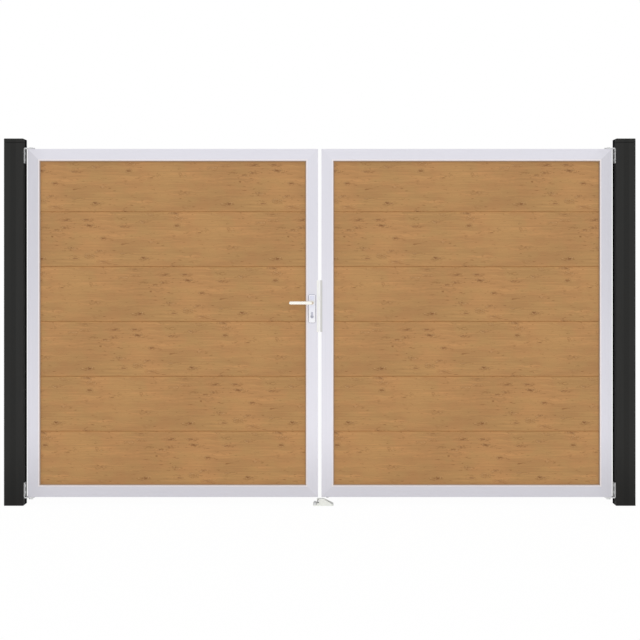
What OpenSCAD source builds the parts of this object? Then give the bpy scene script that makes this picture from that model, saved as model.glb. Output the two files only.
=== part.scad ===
// Double swing gate: two aluminium-framed leaves filled with hollow tongue-and-groove
// PVC boards, hung on corner pivots between two hollow posts.
// X runs along the gate, Y from the street side (front) to the garden side, Z up.
// The origin is on the ground, in the middle of the gap between the leaves.

/* [Opening] */
// Clear width between the two posts
clear_w = 3060; // [2400:10:4000]
// Gap between the two leaves
centre_gap = 18; // [17:1:24]
// Gap between a post and its leaf
side_gap = 20; // [18:1:40]
// Gap between the ground and a leaf
ground_gap = 43; // [40:1:90]

/* [Posts] */
// Width and depth of a post
post_s = 100; // [80:5:150]
// Wall of the post's tube
post_wall = 3; // [2:0.5:5]
// Length of the post's tube above the ground
post_tube_h = 1876; // [1860:1:2400]
// Radius of the post's corners
post_r = 2.5; // [1:0.5:6]
// Height of a post cap
cap_h = 20; // [12:1:40]
// Depth of the cap's skirt inside the tube
cap_skirt = 22; // [10:1:50]
// How far the post's front face stands ahead of the leaf's middle
post_ahead = 35; // [30:1:60]

/* [Leaf frame] */
// Height of a leaf
leaf_h = 1800; // [1500:10:1810]
// Thickness of a leaf's frame
leaf_t = 40; // [36:1:60]
// Face width of the frame's members
frame_face = 61; // [58:1:80]
// Wall of the frame's members
frame_wall = 2; // [1.5:0.25:3]
// Depth of the channel that takes the boards
channel_d = 11; // [9:0.5:11]
// Length of a corner cleat's arms
cleat_arm = 75; // [60:5:75]

/* [Boards] */
// Thickness of a board
board_t = 20; // [16:1:24]
// Wall of a board
board_wall = 2; // [1.5:0.25:3]
// Chambers in a board
board_chambers = 6; // [4:1:8]
// Size of the chamfer along a board's edges
board_chamfer = 3; // [1:0.5:4]
// Width of a board's tongue
tongue_t = 6; // [5:0.5:7]
// Height of a board's tongue
tongue_h = 8; // [5:0.5:10]
// How deep the boards' ends and the top board stand in the channel
board_seat = 8; // [6:0.5:9]
// How deep the bottom board stands in the channel
bottom_seat = 6; // [3:0.5:9]
// How much shorter the top board is, ripped to fit
top_trim = 12; // [0:1:20]
// Length of a setting block under the bottom board
block_l = 80; // [50:5:150]

/* [Hinges] */
// Distance of the pivot from the leaf's outer edge
pivot_in = 14; // [13:0.5:15]
// Width of a hinge bracket's flat bar
bracket_w = 40; // [30:1:50]
// Thickness of a hinge bracket's flat bar
bracket_t = 5; // [4:0.5:6]
// Length of the bracket's leg on the post
bracket_leg = 80; // [70:1:120]
// Outer radius of the bracket's bend
bracket_bend = 8; // [7:0.5:12]
// Diameter of a pivot bolt
pivot_d = 12; // [10:1:14]
// Depth of a pivot bolt in the leaf
pivot_depth = 28; // [20:1:40]
// Wall of a pivot bush
bush_wall = 3; // [2:0.5:4]
// Diameter of a bracket screw
screw_d = 8; // [6:1:10]
// Length of a bracket screw
screw_l = 25; // [16:1:40]

/* [Lock] */
// Height of the handle's spindle above the ground
spindle_z = 1048; // [950:1:1150]
// Distance of the spindle from the leaf's meeting edge
backset = 31; // [30:0.5:32]
// Distance from the spindle down to the key plug
lock_centres = 72; // [72:1:92]
// Height of the lock's forend and of the strike
forend_h = 267; // [250:1:320]
// How far the forend's middle lies below the spindle
forend_drop = 18; // [10:1:25]
// How far the forend stands proud of the stile
forend_t = 5.5; // [4:0.5:6]
// How far the forend laps its leaf's front face
forend_lap = 6.3; // [4:0.1:10]
// How far the strike laps its leaf's front face
strike_lap = 4; // [3:0.1:10]
// Thickness of both laps
lap_t = 2; // [1.5:0.5:3]
// Thickness of the lock case
case_t = 18; // [17:0.5:20]
// Wall of the lock case
case_wall = 1.5; // [1:0.25:2]
// Height of the lock case
case_h = 172; // [155:1:200]
// Travel of the latch
latch_throw = 10; // [8:0.5:11]
// Travel of the deadbolt
bolt_throw = 20; // [12:1:20]
// Thickness of the latch and of the deadbolt
bolt_t = 11; // [8:0.5:12]
// Height of the latch
latch_h = 16; // [12:1:20]
// Height of the deadbolt
bolt_h = 22; // [16:1:24]
// How far the strike stands proud of the other stile
strike_t = 9.5; // [7:0.5:10]

/* [Handle] */
// Width of a handle plate
plate_w = 35; // [30:1:40]
// Height of a handle plate
plate_h = 145; // [130:1:180]
// How far the plate's middle lies below the spindle
plate_drop = 31; // [25:1:45]
// Thickness of a handle plate
plate_t = 9; // [6:0.5:12]
// Corner radius of a handle plate
plate_r = 8; // [3:1:15]
// Reach of a lever from its axis
lever_l = 120; // [90:1:140]
// Diameter of a lever
lever_d = 20; // [16:1:24]
// Distance from the plate to the lever's far side
lever_out = 60; // [50:1:75]
// Side of the square spindle
spindle_s = 8; // [7:1:9]
// Turn of the handle that draws the latch
handle_turn = 40; // [30:1:45]

/* [Drop bolt] */
// Diameter of the drop bolt's rod
rod_d = 14; // [12:1:16]
// Length of the drop bolt's rod
rod_l = 400; // [300:10:600]
// Height of the raised rod's tip above the ground
rod_tip_z = 36; // [35:1:38]
// How far the drop bolt drops
rod_drop = 30; // [20:1:30]
// Width of the guide plate
guide_w = 40; // [36:1:50]
// Height of the guide plate
guide_h = 220; // [180:5:300]
// Thickness of the guide plate
guide_t = 3; // [2:0.5:5]
// Height of the guide plate's lower end above the leaf's lower edge
guide_up = 75; // [66:1:150]
// Height of a guide loop
loop_h = 16; // [12:1:24]
// Length of the grip
grip_l = 34; // [25:1:38]

/* [Ground stop] */
// Height of the ground stop, without the cheek in front
stop_h = 27; // [24:1:30]
// Left end of the stop's foot, measured from the middle of the gap
stop_left = 34; // [30:1:50]
// Left end of the stop's flat top, measured from the middle of the gap
stop_top_left = 14; // [8:1:16]
// Right end of the stop's flat top
stop_top_right = 20; // [8:1:22]
// Right end of the stop's ramp
stop_right = 71; // [66:1:90]
// Thickness of the stop's foot
stop_foot = 6; // [4:0.5:8]
// Depth of the stop in front of the leaf's middle
stop_front = 40; // [35:1:60]
// Depth of the stop behind the leaf's middle
stop_back = 52; // [50:1:70]
// Size of the pocket that takes the drop bolt
pocket_s = 20; // [18:1:22]
// Diameter of an anchor stud
anchor_d = 8; // [6:1:10]

/* [Hidden] */

// Clearances: sliding parts, running shafts, loose seats and the gap over a pivot bush
slide_clear = 0.3;
run_clear = 0.05;
seat_clear = 0.3;
arm_clear = 0.2;
eps = 0.01;
$fn = 48;

// Colours, as on the finished gate
anthracite = [0.19, 0.19, 0.19];
aluminium = [0.84, 0.84, 0.87];
light_oak = [0.69, 0.53, 0.35];
steel = [0.75, 0.76, 0.77];
bright = [0.95, 0.94, 0.91];
black = [0.12, 0.12, 0.12];
zinc = [0.88, 0.89, 0.87];

// The opening and the leaves
leaf_w = (clear_w - centre_gap) / 2 - side_gap;
leaf_out = clear_w / 2 - side_gap;
leaf_top = ground_gap + leaf_h;
post_mid = (clear_w + post_s) / 2;
cap_joint = 1;

// The leaf frame's section: a main chamber, the boards' channel and two hollow lips
chamber_end = frame_face - channel_d - frame_wall;
channel_w = board_t + 1;
lip_t = (leaf_t - channel_w) / 2;
inner_h = leaf_h - 2 * frame_face;

// The stack of boards: each leaf has one node for each board
board_count = 6;
stack_z = frame_face - bottom_seat;
board_cover = (inner_h + bottom_seat + board_seat + top_trim) / board_count;
top_board_h = board_cover - top_trim;
board_l = leaf_w - 2 * (frame_face - board_seat);
tongue_clear = 0.4;

// Hinges
flange_t = 1;
flange_over = 3;
arm_gap = flange_t + arm_clear;
bush_r = pivot_d / 2 + run_clear + bush_wall;
low_head = 3;
bush_l = pivot_depth - 2;
head_cone = screw_d * 0.48;
leg_screws = [0.36, 0.78];

// Lock, from the leaf's meeting edge: x = 0 on the stile's edge and negative into the leaf
forend_mid_z = spindle_z - forend_drop;
plug_z = spindle_z - lock_centres;
case_back = frame_face - channel_d - frame_wall - 0.5;
cam_r = 14.5;
cam_t = 9;
cam_room = 4.5;
latch_up = 14;
latch_z = spindle_z + latch_up + latch_h / 2;
bolt_z = plug_z - cam_r - cam_room - bolt_h / 2;
case_foot = 7;
case_low = bolt_z - bolt_h / 2 - case_foot;
plug_r = 6.45;
cylinder_r = 8.5;
cylinder_half = leaf_t / 2 + plate_t + 1;
tail_w = 10;
tail_h = 24.5;
latch_l = 30;
bolt_l = 2 * bolt_throw;
follower_r = 10;
finger_r = latch_throw / (2 * sin(handle_turn / 2));
finger_w = 4.4;
finger_t = 4;
finger_room = 0.8;
plate_screw_d = 5;
plate_screw_z = [spindle_z - 25, spindle_z + 36];
spindle_hole_r = spindle_s * 0.75;
spindle_l = leaf_t + 2 * plate_t + 40;
neck_d = 3;
plate_mid_z = spindle_z - plate_drop;
plate_bevel = 1.5;

// Drop bolt, on the garden side of the passive leaf's lock stile
rod_x = centre_gap / 2 + frame_face / 2;
rod_y = leaf_t / 2 + guide_t + rod_d / 2 + 2;
loop_wall = 5;
guide_screw_r = 2.4;
guide_z = ground_gap + guide_up;
loop_z = [guide_z + 20, guide_z + guide_h - 20 - loop_h];
grip_z = guide_z + guide_h / 2 + 10;
grip_d = 9;
knob_d = 20;

// Ground stop
anchor_y = [-28, 28];
anchor_x = -(stop_left + stop_top_left) / 2;
nut_h = 6.5;
nut_s = 13;
washer_t = 1.6;
anchor_top = 15.5;
stop_wall = 5;
stop_round = 3;
cheek_t = 14;
cheek_rise = 10;

// A rectangle with round corners, about the origin
module round_rect(w, h, r) {
    square([w - 2 * r, h], center = true);
    square([w, h - 2 * r], center = true);
    for (x = [-1, 1], y = [-1, 1])
        translate([x * (w / 2 - r), y * (h / 2 - r)])
            circle(r);
}

// Draws an outline given in X and Z, as thick as t in Y and centred there
module upright(t) {
    rotate([90, 0, 0])
        linear_extrude(t, center = true)
            children();
}

// A shaft or a hole along Y, from y0 to y1
module along_y(r, y0, y1) {
    translate([0, y1, 0])
        rotate([90, 0, 0])
            cylinder(r = r, h = y1 - y0);
}

// A shaft or a hole along X, from x0 to x1
module along_x(r, x0, x1) {
    translate([x0, 0, 0])
        rotate([0, 90, 0])
            cylinder(r = r, h = x1 - x0);
}

// The right half of the gate is the left one, seen in a mirror
module mirrored(right) {
    if (right)
        mirror([1, 0, 0]) children();
    else
        children();
}

// Leaf frame of reference: x = 0 on the hinge edge, z = 0 on the lower edge
module leaf(right) {
    mirrored(right)
        translate([-leaf_out, 0, ground_gap])
            children();
}

// Meeting-edge frame of reference: x = 0 on the edge, negative into the leaf, z on the ground
module meeting_edge(right) {
    mirrored(right)
        translate([-centre_gap / 2, 0, 0])
            children();
}

// Posts

module post(right) {
    mirrored(right)
        translate([-post_mid, post_s / 2 - post_ahead, 0])
            difference() {
                linear_extrude(post_tube_h)
                    difference() {
                        round_rect(post_s, post_s, post_r);
                        square(post_s - 2 * post_wall, center = true);
                    }
                for (z = bracket_screw_z())
                    translate([0, post_ahead - post_s / 2, z])
                        along_x(screw_d / 2 + 0.1, 0, post_s);
            }
}

module post_cap(right) {
    inside = post_s - 2 * post_wall - 2 * seat_clear;
    bevel = min(post_r, cap_h / 4);
    edge = post_s / 2;
    mirrored(right)
        translate([-post_mid, post_s / 2 - post_ahead, post_tube_h]) {
            intersection() {
                linear_extrude(cap_h)
                    round_rect(post_s, post_s, post_r);
                intersection_for (a = [0, 90])
                    rotate(a)
                        upright(post_s + 1)
                            polygon([
                                [cap_joint - edge, 0], [edge - cap_joint, 0],
                                [edge, cap_joint], [edge, cap_h - bevel],
                                [edge - bevel, cap_h], [bevel - edge, cap_h],
                                [-edge, cap_h - bevel], [-edge, cap_joint],
                            ]);
            }
            translate([0, 0, -cap_skirt])
                linear_extrude(cap_skirt)
                    difference() {
                        square(inside, center = true);
                        square(inside - 2 * post_wall, center = true);
                    }
        }
}

// Hinge brackets: a bent flat bar, its arm over or under the leaf and its leg on the post

function arm_z() = leaf_top + arm_gap;
function bracket_screw_z() = concat(
    [for (k = leg_screws) arm_z() + bracket_t - k * bracket_leg],
    [for (k = leg_screws) ground_gap - arm_gap - bracket_t + k * bracket_leg]
);

// Stands with the arm's underside at z = 0 and the leg on the plane x = 0
module bracket() {
    arm_l = side_gap + pivot_in;
    difference() {
        intersection() {
            upright(bracket_w) {
                difference() {
                    translate([0, bracket_t - bracket_leg])
                        square([arm_l + bracket_w, bracket_leg]);
                    translate([bracket_t, -bracket_leg])
                        square([arm_l + bracket_w, bracket_leg]);
                    translate([0, bracket_t - bracket_bend])
                        square(bracket_bend);
                }
                intersection() {
                    translate([0, bracket_t - bracket_bend])
                        square(bracket_bend);
                    translate([bracket_bend, bracket_t - bracket_bend])
                        difference() {
                            circle(bracket_bend);
                            circle(bracket_bend - bracket_t);
                        }
                }
            }
            union() {
                translate([0, -bracket_w / 2, -bracket_leg])
                    cube([arm_l, bracket_w, 2 * bracket_leg]);
                translate([arm_l, 0, -bracket_leg])
                    cylinder(d = bracket_w, h = 2 * bracket_leg);
            }
        }
        translate([arm_l, 0, -1])
            cylinder(r = pivot_d / 2 + 0.1, h = bracket_t + 2);
        for (k = leg_screws)
            translate([0, 0, bracket_t - k * bracket_leg]) {
                along_x(screw_d / 2 + 0.2, -1, bracket_t + 1);
                translate([bracket_t - head_cone, 0, 0])
                    rotate([0, 90, 0])
                        cylinder(
                            r1 = screw_d / 2 + 0.2,
                            r2 = screw_d / 2 + head_cone + 0.2 + eps,
                            h = head_cone + eps
                        );
            }
    }
}

module place_bracket(right, top) {
    mirrored(right)
        translate([-clear_w / 2, 0, top ? arm_z() : ground_gap - arm_gap])
            mirror([0, 0, top ? 0 : 1])
                children();
}

// The upper one has a low round head, which leaves the leaf's top line clean
module pivot_bolt(top) {
    translate([side_gap + pivot_in, 0, -arm_gap - pivot_depth]) {
        cylinder(d = pivot_d, h = pivot_depth + arm_gap + bracket_t + eps);
        translate([0, 0, pivot_depth + arm_gap + bracket_t])
            if (top)
                cylinder(d = 1.5 * pivot_d, h = low_head);
            else
                cylinder(r = pivot_d * 0.75 / cos(30), h = pivot_d * 0.62, $fn = 6);
    }
}

module pivot_bolts() {
    for (right = [false, true], top = [false, true])
        place_bracket(right, top)
            pivot_bolt(top);
}

module bracket_screws() {
    for (right = [false, true], top = [false, true], k = leg_screws)
        place_bracket(right, top)
            translate([0, 0, bracket_t - k * bracket_leg]) {
                along_x(screw_d / 2, bracket_t - screw_l, bracket_t - head_cone + eps);
                translate([bracket_t - head_cone, 0, 0])
                    rotate([0, 90, 0])
                        cylinder(
                            r1 = screw_d / 2,
                            r2 = screw_d / 2 + head_cone,
                            h = head_cone
                        );
            }
}

// Leaf frames

// The members' section: x from the leaf's outside to its inside, y through its thickness
module frame_section() {
    difference() {
        translate([0, -leaf_t / 2])
            square([frame_face, leaf_t]);
        translate([frame_wall, frame_wall - leaf_t / 2])
            square([chamber_end - frame_wall, leaf_t - 2 * frame_wall]);
        translate([frame_face - channel_d, -channel_w / 2])
            square([channel_d + 1, channel_w]);
        for (side = [-1, 1])
            translate([
                frame_face - channel_d + frame_wall,
                side * (channel_w + lip_t) / 2 - (lip_t - 2 * frame_wall) / 2
            ])
                square([channel_d - 2 * frame_wall, lip_t - 2 * frame_wall]);
    }
}

// A member on the line x = 0, going up, mitred at both ends
module member(l) {
    intersection() {
        linear_extrude(l)
            frame_section();
        upright(leaf_t + 2)
            polygon([[0, 0], [frame_face, frame_face], [frame_face, l - frame_face], [0, l]]);
    }
}

module hinge_stile(right) {
    leaf(right)
        member(leaf_h);
}

module lock_stile(right) {
    difference() {
        leaf(right)
            translate([leaf_w, 0, 0])
                mirror([1, 0, 0])
                    member(leaf_h);
        meeting_edge(right)
            if (right)
                strike_cuts();
            else
                lock_cuts();
        if (right)
            guide_screw_places()
                along_y(guide_screw_r + 0.1, -frame_wall - 1, 1);
    }
}

// A rail is a member laid down, with the hole of the pivot bush in its outer wall
module rail(right, top) {
    leaf(right)
        translate([0, 0, top ? leaf_h : 0])
            mirror([0, 0, top ? 1 : 0])
                difference() {
                    mirror([1, 0, -1])
                        member(leaf_w);
                    translate([pivot_in, 0, -1])
                        cylinder(r = bush_r + run_clear, h = frame_wall + 2);
                }
}

// A corner cleat fills the chambers of both members, with a window in each arm
module cleat(bored) {
    near = frame_wall + seat_clear;
    far = chamber_end - seat_clear;
    window = (far - near) / 2;
    difference() {
        upright(leaf_t - 2 * frame_wall - 2 * seat_clear)
            difference() {
                polygon([
                    [near, near], [cleat_arm, near], [cleat_arm, far],
                    [far, far], [far, cleat_arm], [near, cleat_arm],
                ]);
                for (side = [0, 1])
                    mirror([side, -side])
                        translate([(far + cleat_arm) / 2, (near + far) / 2])
                            round_rect(window, window, 4);
            }
        if (bored)
            translate([pivot_in, 0, 0])
                cylinder(r = bush_r + run_clear, h = pivot_depth + 1);
    }
}

module corner_cleats(right) {
    for (top = [false, true], lock = [false, true])
        leaf(right)
            translate([lock ? leaf_w : 0, 0, top ? leaf_h : 0])
                mirror([lock ? 1 : 0, 0, 0])
                    mirror([0, 0, top ? 1 : 0])
                        cleat(!lock);
}

module pivot_bushes(right) {
    for (top = [false, true])
        leaf(right)
            translate([pivot_in, 0, top ? leaf_h : 0])
                mirror([0, 0, top ? 1 : 0])
                    difference() {
                        union() {
                            cylinder(r = bush_r, h = bush_l);
                            translate([0, 0, -flange_t])
                                cylinder(r = bush_r + flange_over, h = flange_t);
                        }
                        translate([0, 0, -flange_t - 1])
                            cylinder(r = pivot_d / 2 + run_clear, h = bush_l + flange_t + 2);
                    }
}

// Boards

// A board's section: x through its thickness, y up. The groove is below, the tongue above.
module board_section(h, tongue) {
    groove_d = tongue_h + tongue_clear;
    groove_w = tongue_t + tongue_clear;
    first = groove_d + board_wall;
    pitch = (h - board_wall - first) / board_chambers;
    half = board_t / 2;
    flat = half - board_chamfer;
    difference() {
        union() {
            polygon([
                [-flat, 0], [flat, 0], [half, board_chamfer], [half, h - board_chamfer],
                [flat, h], [-flat, h], [-half, h - board_chamfer], [-half, board_chamfer],
            ]);
            if (tongue)
                translate([-tongue_t / 2, h - eps])
                    square([tongue_t, tongue_h + eps]);
        }
        translate([-groove_w / 2, -eps])
            square([groove_w, groove_d + eps]);
        for (i = [0:board_chambers - 1])
            translate([board_wall - half, first + i * pitch])
                square([board_t - 2 * board_wall, pitch - board_wall]);
    }
}

// Board number 1 is the top one
module board(right, number) {
    up = board_count - number;
    leaf(right)
        translate([frame_face - board_seat, 0, stack_z + up * board_cover])
            rotate([90, 0, 90])
                linear_extrude(board_l)
                    board_section(number == 1 ? top_board_h : board_cover, number > 1);
}

module setting_blocks(right) {
    block_h = channel_d - bottom_seat;
    for (share = [0.2, 0.8])
        leaf(right)
            translate([share * leaf_w, 0, frame_face - channel_d])
                linear_extrude(block_h)
                    round_rect(block_l, board_t, 2);
}

// Lock, on the active leaf. Its pieces are drawn in the meeting-edge frame of reference.

// The opening of a profile cylinder: a round plug with its tail above it
module cylinder_outline(gap) {
    circle(cylinder_r + gap);
    translate([-tail_w / 2 - gap, 0])
        square([tail_w + 2 * gap, tail_h - tail_w / 2]);
    translate([0, tail_h - tail_w / 2])
        circle(tail_w / 2 + gap);
}

module cylinder_hole(t) {
    translate([-backset, 0, plug_z])
        upright(t)
            cylinder_outline(slide_clear);
}

module spindle_hole(t) {
    translate([-backset, 0, spindle_z])
        along_y(spindle_hole_r, -t / 2, t / 2);
}

module plate_screw_holes(t) {
    for (z = plate_screw_z)
        translate([-backset, 0, z])
            along_y(plate_screw_d / 2 + 0.1, -t / 2, t / 2);
}

// What the lock takes out of its stile: the mortise in the edge and the holes in the faces
module lock_cuts() {
    t = leaf_t + 2;
    translate([-case_back / 2, -case_t / 2 - seat_clear, case_low - seat_clear])
        cube([case_back, case_t + 2 * seat_clear, case_h + 2 * seat_clear]);
    cylinder_hole(t);
    spindle_hole(t);
    plate_screw_holes(t);
    forend_screw_holes(0);
}

// What the strike takes out of the other stile: the deadbolt's way in and the screw holes
module strike_cuts() {
    translate([-frame_wall - 1, -bolt_t / 2 - 1.5, bolt_z - bolt_h / 2 - 1.5])
        cube([frame_wall + 2, bolt_t + 3, bolt_h + 3]);
    forend_screw_holes(0);
}

function forend_screw_z() = [forend_mid_z - forend_h / 2 + 12, forend_mid_z + forend_h / 2 - 12];

module forend_screw_holes(gap) {
    for (z = forend_screw_z())
        translate([0, 0, z])
            along_x(2.5 + gap, -12, 12);
}

// Screws of the forend and of the strike, with their heads let in flush with the face
module edge_screws(face) {
    for (z = forend_screw_z())
        translate([0, 0, z]) {
            along_x(2.4, -11, face - 2 + eps);
            translate([face - 2, 0, 0])
                rotate([0, 90, 0])
                    cylinder(r1 = 2.4, r2 = 4.3, h = 2);
        }
}

module edge_screw_seats(face) {
    forend_screw_holes(0.1);
    for (z = forend_screw_z())
        translate([face - 2, 0, z])
            rotate([0, 90, 0])
                cylinder(r1 = 2.6, r2 = 4.5 + eps, h = 2 + eps);
}

// A flat bar on a stile's edge with a lip that laps the leaf's front face
module edge_bar(t, lap) {
    translate([0, -leaf_t / 2, forend_mid_z - forend_h / 2])
        cube([t, leaf_t, forend_h]);
    translate([-lap, -leaf_t / 2 - lap_t, forend_mid_z - forend_h / 2])
        cube([lap + t, lap_t, forend_h]);
}

module bolt_holes(t, room) {
    for (bolt = [[latch_z, latch_h], [bolt_z, bolt_h]])
        translate([-1, -bolt_t / 2 - room, bolt[0] - bolt[1] / 2 - room])
            cube([t + 2, bolt_t + 2 * room, bolt[1] + 2 * room]);
}

module lock_forend() {
    meeting_edge(false)
        difference() {
            edge_bar(forend_t, forend_lap);
            bolt_holes(forend_t, slide_clear);
            edge_screw_seats(forend_t);
        }
}

module forend_screws() {
    meeting_edge(false)
        edge_screws(forend_t);
}

module strike() {
    meeting_edge(true)
        difference() {
            edge_bar(strike_t, strike_lap);
            bolt_holes(strike_t, 1.5);
            edge_screw_seats(strike_t);
        }
}

module strike_screws() {
    meeting_edge(true)
        edge_screws(strike_t);
}

// The case is a tray, open to the garden side and towards the forend
module lock_case() {
    meeting_edge(false)
        difference() {
            translate([-case_back, -case_t / 2, case_low])
                cube([case_back, case_t - case_wall, case_h]);
            translate([case_wall - case_back, case_wall - case_t / 2, case_low + case_wall])
                cube([case_back, case_t, case_h - 2 * case_wall]);
            cylinder_hole(case_t + 2);
            spindle_hole(case_t + 2);
            plate_screw_holes(case_t + 2);
        }
}

module lock_case_cover() {
    meeting_edge(false)
        difference() {
            translate([-case_back, case_t / 2 - case_wall, case_low])
                cube([case_back, case_wall, case_h]);
            cylinder_hole(case_t + 2);
            spindle_hole(case_t + 2);
            plate_screw_holes(case_t + 2);
        }
}

// The hub that the spindle turns, with a finger that draws the latch
module lock_follower() {
    t = case_t - 2 * case_wall - 2 * slide_clear;
    meeting_edge(false)
        translate([-backset, 0, spindle_z])
            difference() {
                union() {
                    along_y(follower_r, -t / 2, t / 2);
                    rotate([0, handle_turn / 2, 0])
                        upright(finger_t) {
                            translate([-finger_w / 2, 0])
                                square([finger_w, finger_r]);
                            translate([0, finger_r])
                                circle(d = finger_w);
                        }
                }
                cube([spindle_s + 0.1, case_t + 2, spindle_s + 0.1], center = true);
            }
}

// The latch has a sloping nose, and a forked tail whose lug stands behind the finger
module latch_bolt() {
    back = forend_t - latch_l;
    tip = forend_t + latch_throw;
    half = bolt_t / 2;
    flat = 1.5;
    lug_t = 2.5;
    tail_t = 3;
    lug_x = finger_r * sin(handle_turn / 2) - finger_w / 2 - finger_room - backset;
    lug_z = spindle_z + follower_r + 3;
    low = latch_z - latch_h / 2;
    meeting_edge(false)
        difference() {
            union() {
                translate([0, 0, low])
                    linear_extrude(latch_h)
                        polygon([
                            [back, -half], [tip - bolt_t + flat, -half],
                            [tip, half - flat], [tip, half], [back, half],
                        ]);
                translate([lug_x - lug_t, -half, low])
                    cube([back - lug_x + lug_t + eps, bolt_t, tail_t]);
                translate([lug_x - lug_t, -half, lug_z])
                    cube([lug_t, bolt_t, low + tail_t - lug_z]);
            }
            translate([lug_x, -finger_t / 2 - 1, low - 1])
                cube([back + latch_up / 2 - lug_x, finger_t + 2, latch_h + 2]);
        }
}

module deadbolt() {
    meeting_edge(false)
        translate([forend_t - 0.5 - bolt_l, -bolt_t / 2, bolt_z - bolt_h / 2])
            difference() {
                cube([bolt_l, bolt_t, bolt_h]);
                translate([-1, bolt_t / 2 - 3, bolt_h - 8])
                    cube([15, 6, 9]);
            }
}

// The cylinder's body: two halves joined by the bridge above the cam
module lock_cylinder() {
    meeting_edge(false)
        translate([-backset, 0, plug_z])
            difference() {
                upright(2 * cylinder_half)
                    cylinder_outline(0);
                along_y(plug_r + run_clear, -cylinder_half - 1, cylinder_half + 1);
                along_y(cam_r + 0.5, -cam_t / 2 - slide_clear, cam_t / 2 + slide_clear);
            }
}

module key_plug() {
    meeting_edge(false)
        translate([-backset, 0, plug_z])
            difference() {
                union() {
                    along_y(plug_r, -cylinder_half, cylinder_half);
                    along_y(plug_r + 1.5, -cam_t / 2, cam_t / 2);
                    upright(cam_t)
                        intersection() {
                            circle(cam_r);
                            translate([-3.5, -cam_r])
                                square([7, cam_r]);
                        }
                }
                for (side = [-1, 1])
                    translate([0, side * cylinder_half, -0.8])
                        cube([2.2, 30, 8.5], center = true);
            }
}

// Handle set

// The plate seen from one end: flat against the leaf, its face bevelled all round
module bevelled_side(w) {
    half = plate_t / 2;
    polygon([
        [half, -w / 2], [half, w / 2], [plate_bevel - half, w / 2],
        [-half, w / 2 - plate_bevel], [-half, plate_bevel - w / 2],
        [plate_bevel - half, -w / 2],
    ]);
}

module handle_plate(back) {
    inner = leaf_t / 2;
    meeting_edge(false)
        mirror([0, back ? 1 : 0, 0])
            difference() {
                translate([-backset, -inner - plate_t / 2, plate_mid_z])
                    intersection() {
                        upright(plate_t)
                            round_rect(plate_w, plate_h, plate_r);
                        rotate([90, 0, 90])
                            linear_extrude(plate_w, center = true)
                                bevelled_side(plate_h);
                        linear_extrude(plate_h, center = true)
                            rotate(90)
                                bevelled_side(plate_w);
                    }
                translate([0, -inner - plate_t / 2, 0]) {
                    cylinder_hole(plate_t + 2);
                    if (back)
                        plate_screw_holes(plate_t + 2);
                }
                translate([-backset, 0, spindle_z])
                    along_y(
                        lever_d / 2 + 0.1,
                        -inner - plate_t - 1,
                        -inner - plate_t + neck_d
                    );
                translate([-backset, 0, spindle_z])
                    along_y(spindle_hole_r, -inner - plate_t, -inner + 1);
                if (!back)
                    for (z = plate_screw_z)
                        translate([-backset, 0, z])
                            along_y(plate_screw_d / 2 + 0.1, -inner - plate_t + 3, -inner + 1);
            }
}

// Through screws, from the garden side into the front plate
module plate_screws() {
    inner = leaf_t / 2;
    meeting_edge(false)
        for (z = plate_screw_z)
            translate([-backset, 0, z]) {
                along_y(plate_screw_d / 2, -inner - plate_t + 4, inner + plate_t + eps);
                along_y(4.2, inner + plate_t, inner + plate_t + 2.2);
            }
}

// A lever: a neck out of the plate, a round bend and a bar with a domed end
module lever(back) {
    r = lever_d / 2;
    y0 = leaf_t / 2 + plate_t;
    bend = r + 3;
    out = lever_out - r;
    meeting_edge(false)
        mirror([0, back ? 1 : 0, 0])
            translate([-backset, 0, spindle_z])
                difference() {
                    union() {
                        along_y(r, bend - y0 - out, neck_d - y0 - slide_clear);
                        translate([-bend, bend - y0 - out, 0])
                            rotate([0, 0, -90])
                                rotate_extrude(angle = 90)
                                    translate([bend, 0])
                                        circle(r);
                        translate([0, -y0 - out, 0])
                            along_x(r, r - lever_l, -bend);
                        translate([r - lever_l, -y0 - out, 0])
                            sphere(r);
                    }
                    cube([spindle_s + 0.1, spindle_l + 2, spindle_s + 0.1], center = true);
                }
}

module spindle() {
    meeting_edge(false)
        translate([-backset, 0, spindle_z])
            cube([spindle_s, spindle_l, spindle_s], center = true);
}

// Drop bolt

module drop_bolt_guide() {
    loop_w = rod_d + 2 * loop_wall;
    difference() {
        union() {
            translate([rod_x, leaf_t / 2 + guide_t / 2, guide_z + guide_h / 2])
                upright(guide_t)
                    round_rect(guide_w, guide_h, 6);
            for (z = loop_z)
                translate([rod_x, 0, z]) {
                    translate([-loop_w / 2, leaf_t / 2 + guide_t - eps, 0])
                        cube([loop_w, rod_y - leaf_t / 2 - guide_t + eps, loop_h]);
                    translate([0, rod_y, 0])
                        cylinder(d = loop_w, h = loop_h);
                }
        }
        translate([rod_x, rod_y, guide_z])
            cylinder(r = rod_d / 2 + run_clear, h = guide_h);
        guide_screw_places()
            along_y(guide_screw_r + 0.1, -1, guide_t + 1);
    }
}

module guide_screw_places() {
    for (x = [-1, 1], z = [10, guide_h - 10])
        translate([rod_x + x * (guide_w / 2 - 9), leaf_t / 2, guide_z + z])
            children();
}

module guide_screws() {
    guide_screw_places() {
        along_y(guide_screw_r, -6, guide_t + eps);
        along_y(2 * guide_screw_r, guide_t, guide_t + 2);
    }
}

module drop_bolt_rod() {
    translate([rod_x, rod_y, rod_tip_z])
        difference() {
            union() {
                cylinder(r1 = rod_d / 2 - 2, r2 = rod_d / 2, h = 3);
                translate([0, 0, 3])
                    cylinder(d = rod_d, h = rod_l - 3);
            }
            translate([0, 0, grip_z - rod_tip_z])
                along_y(grip_d / 2, -2, rod_d);
        }
}

// The grip is pressed into the rod and ends in a ball
module drop_bolt_grip() {
    translate([rod_x, rod_y, grip_z]) {
        along_y(grip_d / 2, -2, grip_l);
        translate([0, grip_l, 0])
            sphere(d = knob_d);
    }
}

// Ground stop: a cast ramp with a foot, hollow below, and a pocket for the drop bolt.
// Its front part is a higher cheek, which hides the rest from the street.

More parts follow.
